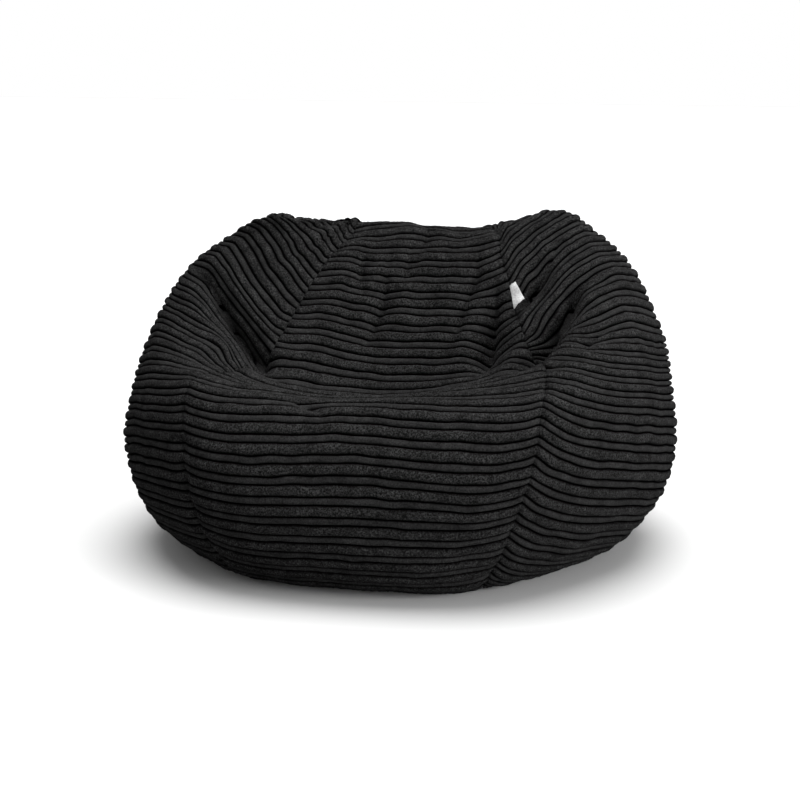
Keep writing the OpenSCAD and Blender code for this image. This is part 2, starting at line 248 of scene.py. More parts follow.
# A fold's depth falls off at this rate for each half width, and a low swelling runs along each side of it:
# its share of the fold's depth, its place in half widths, and its spread.
FOLD_STEEP = 1.1
FOLD_SWELL = 0.16
FOLD_SWELL_AT = 2.6
FOLD_SWELL_SPREAD = 1.6
# How far from its path a fold can reach, in rings and in runs
FOLD_RING_REACH = 0.8
FOLD_RUN_REACH = 0.13
# How deep and how wide the cloth is drawn in at a seam
SEAM_PINCH = 3.5
SEAM_PINCH_REACH = 6
# Puckers along the seams, in mm, and how unevenly they are spaced
SEAM_PUCKER = 1.4
SEAM_PUCKER_PITCH = 62
SEAM_PUCKER_REACH = 26
PUCKER_SWAY = 2
PUCKER_SWAY_CELLS = (RIBS, 18)
# Slack of the cloth, in mm, over a grid of random values round the sack and up it
SLACK = 2.5
SLACK_CELLS = (40, 16)


def spline(a, b, c, d, t):
    """The point at t on the Catmull-Rom curve between b and c."""
    return 0.5 * (2 * b + (c - a) * t + (2 * a - 5 * b + 4 * c - d) * t**2 + (3 * b - a - 3 * c + d) * t**3)


def smooth_curve(points, steps=24):
    """A dense smooth curve through the points."""
    p = np.asarray(points, float)
    p = np.vstack([2 * p[0] - p[1], p, 2 * p[-1] - p[-2]])
    t = np.linspace(0, 1, steps, endpoint=False)[:, None]
    spans = [spline(p[i], p[i + 1], p[i + 2], p[i + 3], t) for i in range(len(p) - 3)]
    return np.vstack(spans + [p[-2:-1]])


def even_points(curve, count):
    """The curve as count points at equal distances, and its length."""
    run = np.r_[0, np.cumsum(np.linalg.norm(np.diff(curve, axis=0), axis=1))]
    at = np.linspace(0, run[-1], count)
    return np.stack([np.interp(at, run, curve[:, k]) for k in range(3)], 1), run[-1]


def whole_rib(base_angle, cap_angle, points):
    """A rib's points with its ends on the base circle and on the tilted cap circle."""
    a, b, tilt = (math.radians(v) for v in (base_angle, cap_angle, CAP_TILT))
    start = (BASE_R * math.sin(a), -BASE_R * math.cos(a), 0)
    across = np.array([math.sin(b), -math.cos(b) * math.cos(tilt), math.cos(b) * math.sin(tilt)])
    return [start] + points + [tuple(np.array(CAP_CENTRE) + CAP_R * across)]


def ring_blend(values, ring):
    """Blends one value a rib smoothly round the sack."""
    i = math.floor(ring)
    a, b, c, d = (values[(i + k) % RIBS] for k in (-1, 0, 1, 2))
    return spline(a, b, c, d, ring - i)


def ease(x):
    """0 below 0, 1 above 1, and smooth between."""
    x = np.clip(x, 0, 1)
    return x * x * (3 - 2 * x)


def unit(v):
    """The vectors at length 1."""
    return v / np.maximum(np.linalg.norm(v, axis=-1, keepdims=True), 1e-9)


def outward(surface):
    """Unit normals of the closed ring of columns, (columns, steps, 3)."""
    around = np.roll(surface, -1, 0) - np.roll(surface, 1, 0)
    along = np.gradient(surface, axis=1)
    return unit(np.cross(around, along))


def noise_field(shape, cells, seed):
    """Smooth random values from -1 to 1 over a grid that wraps round in its first direction."""
    rng = np.random.default_rng(seed)
    knots = rng.uniform(-1, 1, cells)
    u = np.arange(shape[0]) * cells[0] / shape[0]
    v = np.linspace(0, cells[1] - 1.001, shape[1])
    i, j = u.astype(int), v.astype(int)
    fu, fv = u - i, v - j
    fu = (fu * fu * (3 - 2 * fu))[:, None]
    fv = (fv * fv * (3 - 2 * fv))[None, :]
    k = (i + 1) % cells[0]
    low = knots[i][:, j] * (1 - fu) + knots[k][:, j] * fu
    high = knots[i][:, j + 1] * (1 - fu) + knots[k][:, j + 1] * fu
    return low * (1 - fv) + high * fv


def plain_surface():
    """The unfolded sack as (columns, steps, 3), and the length of each column."""
    even = [even_points(smooth_curve(whole_rib(*rib)), RUN_STEPS + 1) for rib in RIBS_BY_HAND]
    ribs = np.array([e[0] for e in even])
    lengths = np.array([e[1] for e in even])
    rings = np.arange(COLUMNS) / COLUMNS_PER_RIB
    surface = np.array([ring_blend(ribs, r) for r in rings])
    return surface, np.array([ring_blend(lengths, r) for r in rings])


def on_surface(surface, ring, run):
    """The point of the surface at a ring and a run."""
    col = (ring * COLUMNS_PER_RIB) % COLUMNS
    i, f = int(col), col - int(col)
    step = run * RUN_STEPS
    j, g = min(int(step), RUN_STEPS - 1), step - min(int(step), RUN_STEPS - 1)
    a, b = surface[i % COLUMNS], surface[(i + 1) % COLUMNS]
    return (a[j] * (1 - g) + a[j + 1] * g) * (1 - f) + (b[j] * (1 - g) + b[j + 1] * g) * f


def fold_path(surface, path, depths, steps=10):
    """The fold's line as dense points on the surface, and the depth at each."""
    p = smooth_curve([(r, s, d) for (r, s), d in zip(path, depths)], steps)
    return np.array([on_surface(surface, r, s) for r, s, _ in p]), p[:, 2]


def fold_depth(surface, path, depths, width):
    """How deep this fold is at each point of the surface, with a low swelling of cloth along each side."""
    line, deep = fold_path(surface, path, depths)
    rings = np.arange(COLUMNS) / COLUMNS_PER_RIB
    middle = np.mean([r for r, _ in path])
    reach = max(abs(r - middle) for r, _ in path) + FOLD_RING_REACH
    columns = np.flatnonzero(np.abs((rings - middle + RIBS / 2) % RIBS - RIBS / 2) < reach)
    runs = [s for _, s in path]
    first = int(max(0, min(runs) - FOLD_RUN_REACH) * RUN_STEPS)
    last = int(min(1, max(runs) + FOLD_RUN_REACH) * RUN_STEPS)
    patch = surface[columns, first:last]
    nearest = np.full(patch.shape[:2], 1e9)
    depth = np.zeros(patch.shape[:2])
    for a, b, da, db in zip(line[:-1], line[1:], deep[:-1], deep[1:]):
        ab = b - a
        t = np.clip(((patch - a) @ ab) / (ab @ ab), 0, 1)
        d = np.linalg.norm(patch - a - t[..., None] * ab, axis=-1)
        closer = d < nearest
        nearest = np.where(closer, d, nearest)
        depth = np.where(closer, da + t * (db - da), depth)
    across = nearest / width
    swell = FOLD_SWELL * np.exp(-((across - FOLD_SWELL_AT) ** 2) / FOLD_SWELL_SPREAD)
    shape = np.exp(-across * FOLD_STEEP) - swell
    out = np.zeros(surface.shape[:2])
    out[columns, first:last] = np.maximum(depth, 0) * shape
    return out


def seam_distance(surface):
    """How far each point is from the nearest gore seam, measured round the sack."""
    step = np.linalg.norm(np.roll(surface, -1, 0) - surface, axis=-1)
    distance = np.full(surface.shape[:2], 1e9)
    for seam in range(1, RIBS, 2):
        at = seam * COLUMNS_PER_RIB
        right = np.cumsum(step[np.arange(at, at + COLUMNS_PER_RIB) % COLUMNS], axis=0)
        left = np.cumsum(step[np.arange(at - 1, at - 1 - COLUMNS_PER_RIB, -1) % COLUMNS], axis=0)
        distance[at % COLUMNS] = 0
        ahead = np.arange(at + 1, at + 1 + COLUMNS_PER_RIB) % COLUMNS
        behind = np.arange(at - 1, at - 1 - COLUMNS_PER_RIB, -1) % COLUMNS
        distance[ahead] = np.minimum(distance[ahead], right)
        distance[behind] = np.minimum(distance[behind], left)
    return distance


def deepest_near(depth, reach):
    """At each point, the greatest depth within reach columns and 4 * reach steps, smoothed."""
    wide = depth
    for k in range(-reach, reach + 1):
        wide = np.maximum(wide, np.roll(depth, k, 0))
    tall = np.pad(wide, ((0, 0), (4 * reach, 4 * reach)), mode="edge")
    steps = depth.shape[1]
    return np.max([tall[:, k:k + steps] for k in range(0, 8 * reach + 1, reach)], axis=0)


def folded_surface():
    """The sack with its folds, seams and small slack, its normals and lengths, each point's distance to a
    seam, and the surface and normals that the pieces inside are measured from."""
    surface, lengths = plain_surface()
    surface[..., 2] = np.maximum(surface[..., 2], 0)
    normals = outward(surface)
    distance = seam_distance(surface)
    run = np.linspace(0, 1, RUN_STEPS + 1)[None, :] * lengths[:, None]
    inward = np.zeros(surface.shape[:2])
    for fold in FOLDS:
        inward += fold_depth(surface, *fold)
    inward += SEAM_PINCH * np.exp(-distance / SEAM_PINCH_REACH)
    inward += BASE_PINCH * np.exp(-run / SEAM_PINCH_REACH)
    inward += SEAM_PINCH * np.exp(-(lengths[:, None] - run) / SEAM_PINCH_REACH)
    sway = PUCKER_SWAY * noise_field(inward.shape, PUCKER_SWAY_CELLS, 3)
    pucker = np.sin(run * 2 * math.pi / SEAM_PUCKER_PITCH + sway)
    inward += SEAM_PUCKER * pucker * np.exp(-distance / SEAM_PUCKER_REACH)
    inward += SLACK * noise_field(inward.shape, SLACK_CELLS, 5)
    inside = surface - normals * deepest_near(inward, 3)[..., None]
    surface = surface - normals * inward[..., None]
    surface[..., 2] = np.maximum(surface[..., 2], FLOOR_GAP)
    return surface, outward(surface), lengths, distance, inside, normals


SURFACE, NORMALS, LENGTHS, SEAM_GAP, INSIDE, PLAIN_NORMALS = folded_surface()
RUN_MM = np.linspace(0, 1, RUN_STEPS + 1)[None, :] * LENGTHS[:, None]


# ---------------------------------------------------------------- Meshes
def make_mesh(name, verts, faces, uv=None, smooth=True):
    """A mesh object from points in mm. Corners of a face that coincide are merged first."""
    verts = np.asarray(verts, float)
    _, first, same = np.unique(np.round(verts, 4), axis=0, return_index=True, return_inverse=True)
    same = same.ravel()
    clean = []
    for face in faces:
        corners = [int(same[v]) for v in face]
        corners = [v for k, v in enumerate(corners) if v != corners[k - 1]]
        if len(set(corners)) >= 3 and len(set(corners)) == len(corners):
            clean.append(corners)
    mesh = bpy.data.meshes.new(name)
    mesh.from_pydata((verts[first] * MM).tolist(), [], clean)
    if uv is not None:
        layer = mesh.uv_layers.new(name="cords")
        corner = np.empty(len(mesh.loops), np.int32)
        mesh.loops.foreach_get("vertex_index", corner)
        layer.data.foreach_set("uv", np.asarray(uv, np.float32)[first][corner].ravel())
    mesh.polygons.foreach_set("use_smooth", [smooth] * len(mesh.polygons))
    mesh.update()
    obj = bpy.data.objects.new(name, mesh)
    bpy.context.scene.collection.objects.link(obj)
    return obj


def grid_faces(rows, cols, start=0, flip=False):
    """Quads of a grid of rows x cols points that face the way rows x columns turn."""
    i, j = np.meshgrid(np.arange(rows - 1), np.arange(cols - 1), indexing="ij")
    a = (start + i * cols + j).ravel()
    quads = np.stack([a, a + 1, a + 1 + cols, a + cols], 1)
    return (quads[:, ::-1] if flip else quads).tolist()


def wale_height(phase):
    """The height of the pile at each phase of a cord, in mm above the groove."""
    wide = np.clip(phase / WIDE, 0, 1)
    narrow = np.clip((phase - WIDE) / (1 - WIDE), 0, 1)
    high = np.where(phase < WIDE, WIDE_HIGH, NARROW_HIGH)
    x = np.where(phase < WIDE, wide, narrow)
    return high * np.maximum(1 - np.abs(2 * x - 1) ** WALE_FLAT, 0) ** WALE_STEEP


def cord_rows(low, high):
    """The cord counts at which the mesh has a row, and which of them are grooves."""
    phases = [WIDE * x for x in WIDE_ROWS] + [WIDE + (1 - WIDE) * x for x in NARROW_ROWS]
    grooves = [x in (0, WIDE) for x in phases]
    cords = np.arange(math.floor(low), math.ceil(high))
    rows = (cords[:, None] + np.array(phases)[None, :]).ravel()
    return np.r_[rows, cords[-1] + 1], np.r_[np.tile(grooves, len(cords)), True]


def corded_panel(name, surface, normals, cords, width_at, crush):
    """A closed panel of corduroy. Columns run across it, and its rows follow the wales. crush is the share
    of the pile's height that is left, at each point or all over."""
    cols, steps = cords.shape
    cords = np.maximum.accumulate(cords + np.arange(steps) * 1e-6, axis=1)
    rows, grooves = cord_rows(cords.min(), cords.max())
    grooves[0] = grooves[-1] = True
    at = np.array([np.interp(rows, cords[i], np.arange(steps)) for i in range(cols)])
    count = np.clip(rows[None, :], cords[:, :1], cords[:, -1:])
    low = np.minimum(at.astype(int), steps - 2)
    part = (at - low)[..., None]
    pick = np.arange(cols)[:, None]
    point = surface[pick, low] * (1 - part) + surface[pick, low + 1] * part
    normal = unit(normals[pick, low] * (1 - part) + normals[pick, low + 1] * part)
    height = wale_height(count % 1)
    rng = np.random.default_rng(len(name))
    height *= 1 + PILE_UNEVEN * rng.uniform(-1, 1, height.shape)
    crush = np.broadcast_to(crush, cords.shape)
    pressed = crush[pick, low]
    outer = point + normal * ((height - WIDE_HIGH) * pressed)[..., None]
    inner = (point - normal * (WIDE_HIGH * pressed + CLOTH * (0.5 + 0.5 * pressed))[..., None])[:, grooves]
    outer[..., 2] = np.maximum(outer[..., 2], FLOOR_GAP)
    inner[..., 2] = np.maximum(inner[..., 2], FLOOR_GAP + CLOTH / 2)
    return panel_mesh(name, outer, inner, np.flatnonzero(grooves), count, width_at)


def panel_mesh(name, outer, inner, kept, count, width_at):
    """Joins an outer skin and a coarser inner skin, both (columns, rows, 3), into one closed mesh."""
    cols, rows = outer.shape[:2]
    few = inner.shape[1]
    start = cols * rows
    faces = grid_faces(rows, cols) + grid_faces(few, cols, start, True)

    def out(row, col):
        return row * cols + col

    def inn(row, col):
        return start + row * cols + col

    for j in range(cols - 1):
        faces.append([out(0, j), inn(0, j), inn(0, j + 1), out(0, j + 1)])
        faces.append([out(rows - 1, j + 1), inn(few - 1, j + 1), inn(few - 1, j), out(rows - 1, j)])
    for k in range(few - 1):
        span = range(kept[k], kept[k + 1] + 1)
        faces.append([out(i, 0) for i in span] + [inn(k + 1, 0), inn(k, 0)])
        faces.append([inn(k, cols - 1), inn(k + 1, cols - 1)] + [out(i, cols - 1) for i in reversed(span)])
    verts = np.vstack([outer.transpose(1, 0, 2).reshape(-1, 3), inner.transpose(1, 0, 2).reshape(-1, 3)])
    uv = np.stack([np.broadcast_to(width_at[:, None], count.shape), count], -1)
    uv = np.vstack([uv.transpose(1, 0, 2).reshape(-1, 2), uv[:, kept].transpose(1, 0, 2).reshape(-1, 2)])
    return make_mesh(name, verts, faces, uv)


def gore_columns(middle):
    """The columns of the gore whose middle is at this ring, seam to seam."""
    first = (middle - 1) * COLUMNS_PER_RIB
    return np.arange(first, first + 2 * COLUMNS_PER_RIB + 1) % COLUMNS


def smooth_interp(x, knots, values):
    """Values that pass smoothly through the knots. values may hold a row for each knot."""
    knots = np.asarray(knots, float)
    values = np.asarray(values, float).reshape(len(knots), -1)
    slope = np.gradient(values, knots, axis=0)
    i = np.clip(np.searchsorted(knots, x, side="right") - 1, 0, len(knots) - 2)
    wide = (knots[i + 1] - knots[i])[:, None]
    t = ((x - knots[i])[:, None]) / wide
    rise = values[i + 1] - values[i]
    bend = t * (1 - t) * ((1 - t) * (slope[i] * wide - rise) - t * (slope[i + 1] * wide - rise))
    return values[i] + rise * t + bend


def gore_cords(gore, columns):
    """The cord count at each point of a gore, (columns, steps)."""
    run = np.linspace(0, 1, RUN_STEPS + 1)
    lengths = LENGTHS[columns][:, None]
    if gore in CORD_SHIFTS:
        places, rows = CORD_SHIFTS[gore]
        across = np.linspace(0, 1, len(columns))
        across = 1 - across if gore == "left" else across
        by_run = smooth_interp(run, [row[0] for row in rows], [row[1] for row in rows])
        count = run[None, :] * lengths / CORD + smooth_interp(across, places, by_run.T)
    else:
        count = run[None, :] * BACK_CORDS + np.zeros_like(lengths)
    count = count - SEAM_RISE * np.exp(-SEAM_GAP[columns] / SEAM_RISE_REACH)
    return count + WANDER * noise_field((COLUMNS, RUN_STEPS + 1), WANDER_CELLS, 11)[columns]


# ---------------------------------------------------------------- Materials
class Shader:
    """A new material with small helpers for its nodes."""

    def __init__(self, name, roughness=0.9, **sockets):
        self.material = bpy.data.materials.new(name)
        self.material.use_nodes = True
        self.tree = self.material.node_tree
        self.main = self.tree.nodes["Principled BSDF"]
        self.set(self.main, Roughness=roughness, **sockets)

    def set(self, node, **sockets):
        """Sets sockets by name, with _ for a space."""
        for key, value in sockets.items():
            node.inputs[key.replace("_", " ")].default_value = value

    def node(self, kind, **settings):
        """A new node of this kind with these settings."""
        made = self.tree.nodes.new("ShaderNode" + kind)
        for key, value in settings.items():
            setattr(made, key, value)
        return made

    def link(self, a, b):
        """Joins an output to an input."""
        self.tree.links.new(a, b)

    def math(self, operation, a, b=0.0, c=0.0):
        """The result of a math node. Each of a, b and c is a number or an output."""
        made = self.node("Math", operation=operation)
        for socket, value in zip(made.inputs, (a, b, c)):
            if isinstance(value, (int, float)):
                socket.default_value = value
            else:
                self.link(value, socket)
        return made.outputs[0]

    def ramp(self, value, stops):
        """The colour of a ramp at value. stops are (place, colour)."""
        made = self.node("ValToRGB")
        self.link(value, made.inputs[0])
        points = made.color_ramp.elements
        while len(points) < len(stops):
            points.new(0.5)
        for point, (at, colour) in zip(points, stops):
            point.position = at
            point.color = (*colour, 1)
        return made.outputs[0]

    def mix(self, share, a, b, kind="MIX"):
        """Two colours blended."""
        made = self.node("Mix", data_type="RGBA", blend_type=kind)
        for socket, value in zip((made.inputs[0], made.inputs[6], made.inputs[7]), (share, a, b)):
            if isinstance(value, (int, float, tuple)):
                socket.default_value = value
            else:
                self.link(value, socket)
        return made.outputs[2]

    def noise(self, where, scale, detail=3.0, roughness=0.55):
        """Smooth noise from 0 to 1, with about scale features a metre."""
        made = self.node("TexNoise")
        self.link(where, made.inputs["Vector"])
        self.set(made, Scale=scale, Detail=detail, Roughness=roughness)
        return made.outputs["Fac"]

    def bump(self, height, strength, distance, before=None):
        """A normal that is roughened by height, after another one if before is given."""
        made = self.node("Bump")
        self.link(height, made.inputs["Height"])
        self.set(made, Strength=strength, Distance=distance)
        if before is not None:
            self.link(before, made.inputs["Normal"])
        return made.outputs[0]


def grey(value, warm=0.0):
    """A grey colour, or a slightly warm one."""
    return (value * (1 + warm), value, value * (1 - warm))


def greys(stops):
    """Stops of a ramp from places and greys."""
    return [(at, grey(value)) for at, value in stops]


# The corduroy's greys. The first two are against the tuft noise, PATCH_GREYS against the broad noise, and
# the painted shade against the distance from the middle of a wale, 0, to its groove, 1, which darkens the
# sides of each wale and turns its groove black.
WIDE_GREYS = [(0.37, 0.002), (0.5, 0.0085), (0.65, 0.025)]
NARROW_GREYS = [(0.34, 0.005), (0.66, 0.0185)]
PATCH_GREYS = [(0.3, 0.7), (0.7, 1.25)]
GROOVE_SHADE_GREYS = [(0.55, 1.0), (0.93, 0.0)]
TUFT_SCALE = 430
PATCH_SCALE = 45
FUZZ_SCALE = 900


def corduroy_material():
    """Charcoal jumbo corduroy: fuzzy mottled wide wales, smoother and lighter narrow wales, and grooves
    darkened with painted shade.
    """
    m = Shader("corduroy", 1.0, Specular_IOR_Level=0.0)
    place = m.node("TexCoord").outputs["Object"]
    cords = m.node("UVMap", uv_map="cords").outputs[0]
    split = m.node("SeparateXYZ")
    m.link(cords, split.inputs[0])
    phase = m.math("FRACT", split.outputs[1])
    narrow = m.math("GREATER_THAN", phase, WIDE)
    wide_x = m.math("DIVIDE", phase, WIDE)
    narrow_x = m.math("DIVIDE", m.math("SUBTRACT", phase, WIDE), 1 - WIDE)
    across = m.math("MULTIPLY_ADD", narrow, m.math("SUBTRACT", narrow_x, wide_x), wide_x)
    edge = m.math("ABSOLUTE", m.math("MULTIPLY_ADD", across, 2.0, -1.0))
    tufts = m.noise(place, TUFT_SCALE, 3.0, 0.7)
    patches = m.noise(place, PATCH_SCALE, 3.0)
    colour = m.mix(narrow, m.ramp(tufts, greys(WIDE_GREYS)), m.ramp(tufts, greys(NARROW_GREYS)))
    worn = m.ramp(patches, greys(PATCH_GREYS))
    colour = m.mix(1.0, colour, worn, "MULTIPLY")
    # Painted shade: the colour darkens down the sides of each wale and is black in the grooves, where shadow
    # falls.
    groove = m.ramp(edge, greys(GROOVE_SHADE_GREYS))
    m.link(m.mix(1.0, colour, groove, "MULTIPLY"), m.main.inputs["Base Color"])
    fuzz = m.noise(place, FUZZ_SCALE, 4.0, 0.8)
    first = m.bump(tufts, 1.0, 0.003)
    m.link(m.bump(fuzz, 0.6, 0.0006, first), m.main.inputs["Normal"])
    return m.material


CORDUROY = corduroy_material()


def woven_material(name, low, high, threads, roughness=0.8, sheen=0.2, gauge=0.0002):
    """Plain weave: fine threads both ways, uneven dye and a little sheen. low and high are its colours, and
    gauge is the depth of the weave in metres."""
    m = Shader(name, roughness, Sheen_Weight=sheen, Sheen_Roughness=0.5, Specular_IOR_Level=0.2)
    place = m.node("TexCoord").outputs["Object"]
    split = m.node("SeparateXYZ")
    m.link(place, split.inputs[0])
    x, y, z = split.outputs
    turns = threads * 2 * math.pi
    warp = m.math("SINE", m.math("MULTIPLY", m.math("ADD", x, z), turns))
    slant = m.math("ADD", y, m.math("MULTIPLY", z, 0.5))
    weft = m.math("SINE", m.math("MULTIPLY", slant, turns))
    weave = m.math("MULTIPLY_ADD", m.math("MULTIPLY", warp, weft), 0.5, 0.5)
    slubs = m.noise(place, threads * 0.4, 4.0, 0.7)
    share = m.math("MULTIPLY_ADD", slubs, 0.7, m.math("MULTIPLY", weave, 0.3))
    m.link(m.ramp(share, [(0.25, low), (0.8, high)]), m.main.inputs["Base Color"])
    m.link(m.bump(share, 0.5, gauge), m.main.inputs["Normal"])
    return m.material


def metal_material():
    """Nickel-plated die casting, dulled and finely scratched."""
    m = Shader("zip_metal", 0.35, Metallic=1.0)
    place = m.node("TexCoord").outputs["Object"]
    wear = m.noise(place, 700, 5.0, 0.7)
    m.link(m.ramp(wear, [(0.3, grey(0.42, 0.02)), (0.7, grey(0.62, 0.03))]), m.main.inputs["Base Color"])
    m.link(m.math("MULTIPLY_ADD", wear, 0.3, 0.2), m.main.inputs["Roughness"])
    m.link(m.bump(wear, 0.15, 0.0001), m.main.inputs["Normal"])
    return m.material


def nylon_material(name, low, high):
    """Zip coil monofilament: smooth, slightly translucent-looking plastic."""
    m = Shader(name, 0.4, Coat_Weight=0.1, Specular_IOR_Level=0.5)
    place = m.node("TexCoord").outputs["Object"]
    cloud = m.noise(place, 500, 3.0)
    m.link(m.ramp(cloud, [(0.3, low), (0.7, high)]), m.main.inputs["Base Color"])
    m.link(m.bump(cloud, 0.1, 0.0001), m.main.inputs["Normal"])
    return m.material


def bead_material():
    """Expanded polystyrene beads: white cells a few millimetres across, with painted shade between them."""
    m = Shader("beads", 0.7, Subsurface_Weight=0.2, Subsurface_Scale=0.004, Specular_IOR_Level=0.3)
    place = m.node("TexCoord").outputs["Object"]
    cells = m.node("TexVoronoi")
    m.link(place, cells.inputs["Vector"])
    m.set(cells, Scale=210.0)
    gap = cells.outputs["Distance"]
    # Painted shade: the white darkens towards the edge of each cell, in the crevices between beads.
    m.link(m.ramp(gap, greys([(0.2, 0.86), (0.75, 0.5)])), m.main.inputs["Base Color"])
    m.link(m.bump(m.math("SUBTRACT", 1.0, gap), 0.9, 0.0015), m.main.inputs["Normal"])
    return m.material


LINER_CLOTH = woven_material("liner_cloth", grey(0.5), grey(0.72), 1200)
LABEL_CLOTH = woven_material("label_cloth", grey(0.09), grey(0.34), 900, 0.9, 0.2, 0.0004)
ZIP_TAPE = woven_material("zip_tape", grey(0.012), grey(0.035), 1500, 0.7)
LINER_ZIP_TAPE = woven_material("liner_zip_tape", grey(0.45), grey(0.7), 1500, 0.7)
THREAD = woven_material("thread", grey(0.01), grey(0.03), 3000, 0.6)
ZIP_COIL = nylon_material("zip_coil", grey(0.012), grey(0.02))
LINER_ZIP_COIL = nylon_material("liner_zip_coil", grey(0.5), grey(0.65))
ZIP_METAL = metal_material()
BEADS = bead_material()


def finish_piece(made, material, slot, body, *nodes):
    """Gives a piece its material and body, and hides the CAD nodes that it stands for. slot is not used."""
    made.data.materials.clear()
    made.data.materials.append(material)
    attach(made, body)
    if nodes:
        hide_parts(*nodes)
    return made


# ---------------------------------------------------------------- The corduroy cover
def cover_gores():
    """The five long panels of the cover, each a closed padded piece."""
    for gore, middle in GORES.items():
        columns = gore_columns(middle)
        name = f"cover_{gore}_gore"
        across = np.linspace(0, GORE_WIDTH / CORD, len(columns))
        crush = HEM_CRUSH + (1 - HEM_CRUSH) * ease(RUN_MM[columns] / HEM_CRUSH_REACH)
        cords = gore_cords(gore, columns)
        made = corded_panel(name + "_cloth", SURFACE[columns], NORMALS[columns], cords, across, crush)
        finish_piece(made, CORDUROY, "corduroy", "bag", name)


def disc_grid(radius, start, end, cols, steps):
    """Points of a slice of a disc from y = start to y = end, as x and y, (columns, steps)."""
    y = np.linspace(start, end, steps)[None, :] + np.zeros((cols, 1))
    half = np.sqrt(np.maximum(radius**2 - y**2, 0))
    return np.linspace(-1, 1, cols)[:, None] * half, y


def cover_cap():
    """The round patch over the gathered ends of the gores, slightly domed."""
    tilt = math.radians(CAP_TILT)
    radius = CAP_R + CAP_LAP
    x, y = disc_grid(radius, -radius, radius, 61, 161)
    rim = radius - np.hypot(x, y)
    rise = CAP_DOME * ease(rim / CAP_R) - SEAM_PINCH * np.exp(-rim / SEAM_PINCH_REACH)
    right, back = np.array([1, 0, 0]), np.array([0, math.cos(tilt), -math.sin(tilt)])
    up = np.cross(right, back)
    surface = np.array(CAP_CENTRE) + x[..., None] * right + y[..., None] * back + rise[..., None] * up
    normals = unit(np.cross(np.gradient(surface, axis=0), np.gradient(surface, axis=1)) + up * 1e-6)
    cords = y / CORD + CAP_FIRST_CORD
    made = corded_panel("cover_top_cap_cloth", surface, normals, cords, np.linspace(0, 3, 61), 1)
    finish_piece(made, CORDUROY, "corduroy", "bag", "cover_top_cap")


def base_half(name, side):
    """Half of the round base panel, from its rim to the folded edge beside the zip, pressed flat. side is -1
    for the front half and 1 for the back."""
    edge = abs(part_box(name)[0 if side > 0 else 1].y) / MM
    radius = BASE_R + BASE_LAP
    start, end = (-radius, -edge) if side < 0 else (edge, radius)
    x, y = disc_grid(radius, start, end, 161, 401)
    x = -x
    fold = np.abs(y) - edge
    shut = ease((np.abs(x) - BASE_SHUT_FROM) / BASE_SHUT_REACH) * np.clip(1 - fold / BASE_SHUT_DEEP, 0, 1)
    y = y * (1 - shut * edge / np.abs(y))
    rim = radius - np.hypot(x, y)
    raised = BASE_EDGE_LIFT * np.exp(-fold / BASE_EDGE_REACH) + np.exp(-rim / SEAM_PINCH_REACH)
    lift = BASE_PINCH * raised + FLOOR_GAP
    surface = np.stack([x, y, lift], -1)
    normals = np.zeros_like(surface)
    normals[..., 2] = -1
    cords = y / CORD + BASE_FIRST_CORD + BASE_WANDER * np.sin(x / BASE_WANDER_LENGTH)
    made = corded_panel(name + "_cloth", surface, normals, cords, np.linspace(0, 14, 161), HEM_CRUSH)
    finish_piece(made, CORDUROY, "corduroy", "bag", name)


def seam_label():
    """A blank folded label of woven cloth, held in the seam along one edge, with frayed cut ends."""
    a, b, c, d = (np.array(v, float) for v in LABEL_CORNERS)
    cols, rows = 25, 49
    u = np.linspace(0, 1, cols)[:, None, None]
    v = np.linspace(0, 1, rows)[None, :, None]
    flat = (a * (1 - v) + b * v) * (1 - u) + (d * (1 - v) + c * v) * u
    out = unit(np.cross(d - a, b - a))
    rng = np.random.default_rng(21)
    curl = LABEL_CURL * np.sin(u * math.pi * 0.9) * (0.6 + 0.4 * np.cos(v * 5))
    curl = curl + LABEL_RIPPLE * np.sin(v * 9 + u * 2)
    rib = 0.22 * np.sin(v * rows * 2.1) + 0.12 * rng.uniform(-1, 1, (cols, rows, 1))
    fray = LABEL_FRAY * rng.uniform(-1, 1, (cols, 1, 1)) * unit(b - a)
    flat = flat + fray * (np.abs(2 * v - 1) ** 12)
    outer = flat + out * (curl + rib + LABEL_THICK / 2)
    inner = flat + out * (curl + rib - LABEL_THICK / 2)
    every = np.arange(rows)
    count = np.zeros((cols, rows)) + v[..., 0]
    made = panel_mesh("seam_label_cloth", outer, inner, every, count, np.linspace(0, 1, cols))
    finish_piece(made, LABEL_CLOTH, "label_cloth", "bag", "seam_label")


# ---------------------------------------------------------------- Zips
def tube(path, radius, sides=6):
    """Points and faces of a tube along a path, closed with flat ends."""
    p = np.asarray(path, float)
    ahead = unit(np.gradient(p, axis=0))
    side = unit(np.cross(ahead, (0.13, 0.21, 0.97)))
    up = np.cross(side, ahead)
    turn = np.arange(sides) * 2 * math.pi / sides
    ring = side[:, None] * np.cos(turn)[None, :, None] + up[:, None] * np.sin(turn)[None, :, None]
    verts = (p[:, None] + radius * ring).reshape(-1, 3)
    faces = []
    for i in range(len(p) - 1):
        for k in range(sides):
            n = (k + 1) % sides
            faces.append([i * sides + k, i * sides + n, (i + 1) * sides + n, (i + 1) * sides + k])
    last = (len(p) - 1) * sides
    faces.append([k for k in reversed(range(sides))])
    faces.append([last + k for k in range(sides)])
    return verts, [face[::-1] for face in faces]


def join(parts):
    """Several (points, faces) as one."""
    verts, faces, start = [], [], 0
    for v, f in parts:
        verts.append(v)
        faces += [[start + k for k in face] for face in f]
        start += len(v)
    return np.vstack(verts), faces


def box_centre(node):
    """The middle and the size of a CAD node's box, in mm."""
    low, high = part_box(node)
    return [(a + b) / 2 / MM for a, b in zip(low, high)], [(b - a) / MM for a, b in zip(low, high)]


